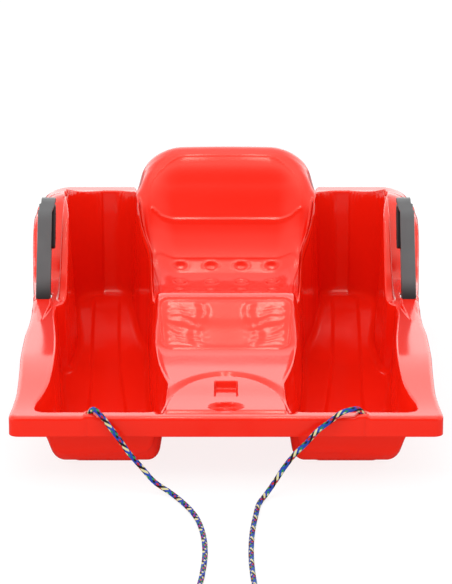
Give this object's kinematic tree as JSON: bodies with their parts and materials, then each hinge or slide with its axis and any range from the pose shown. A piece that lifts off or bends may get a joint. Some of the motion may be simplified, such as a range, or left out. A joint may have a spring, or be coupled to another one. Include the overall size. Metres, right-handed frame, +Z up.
{
  "type": "plastic sled",
  "caption": "Moulded plastic bob sled with leg wells, a dished seat and backrest, hand brake levers on pins and a braided tow rope.",
  "frame": {"origin": "centre of the sled's footprint on the ground, under its middle", "axes": "+X towards the right side as seen from the front, +Y from the front rim to the back, +Z up"},
  "size_m": [0.52, 1.226, 0.2529],
  "materials": {
    "shell_plastic": "gloss",
    "brake_plastic": "satin",
    "pin_steel": "satin",
    "rope_fibre": "matte"
  },
  "bodies": {
    "sled": {"shell": "shell_plastic", "brake_pin_left": "pin_steel", "brake_pin_right": "pin_steel", "pin_cap_left": "pin_steel", "pin_cap_right": "pin_steel", "rope_left": "rope_fibre", "rope_right": "rope_fibre", "rope_coil": "rope_fibre", "rope_knot_left": "rope_fibre", "rope_knot_right": "rope_fibre"},
    "left_brake": {"brake_lever_left": "brake_plastic"},
    "right_brake": {"brake_lever_right": "brake_plastic"}
  },
  "joints": [
    {"name": "left_brake_pull", "type": "hinge", "parent": "sled", "child": "left_brake", "pos_m": [-0.2357, 0.055, 0.083], "axis": [-1, 0, 0], "range_deg": [0, 30]},
    {"name": "right_brake_pull", "type": "hinge", "parent": "sled", "child": "right_brake", "pos_m": [0.2357, 0.055, 0.083], "axis": [-1, 0, 0], "range_deg": [0, 30]}
  ]
}
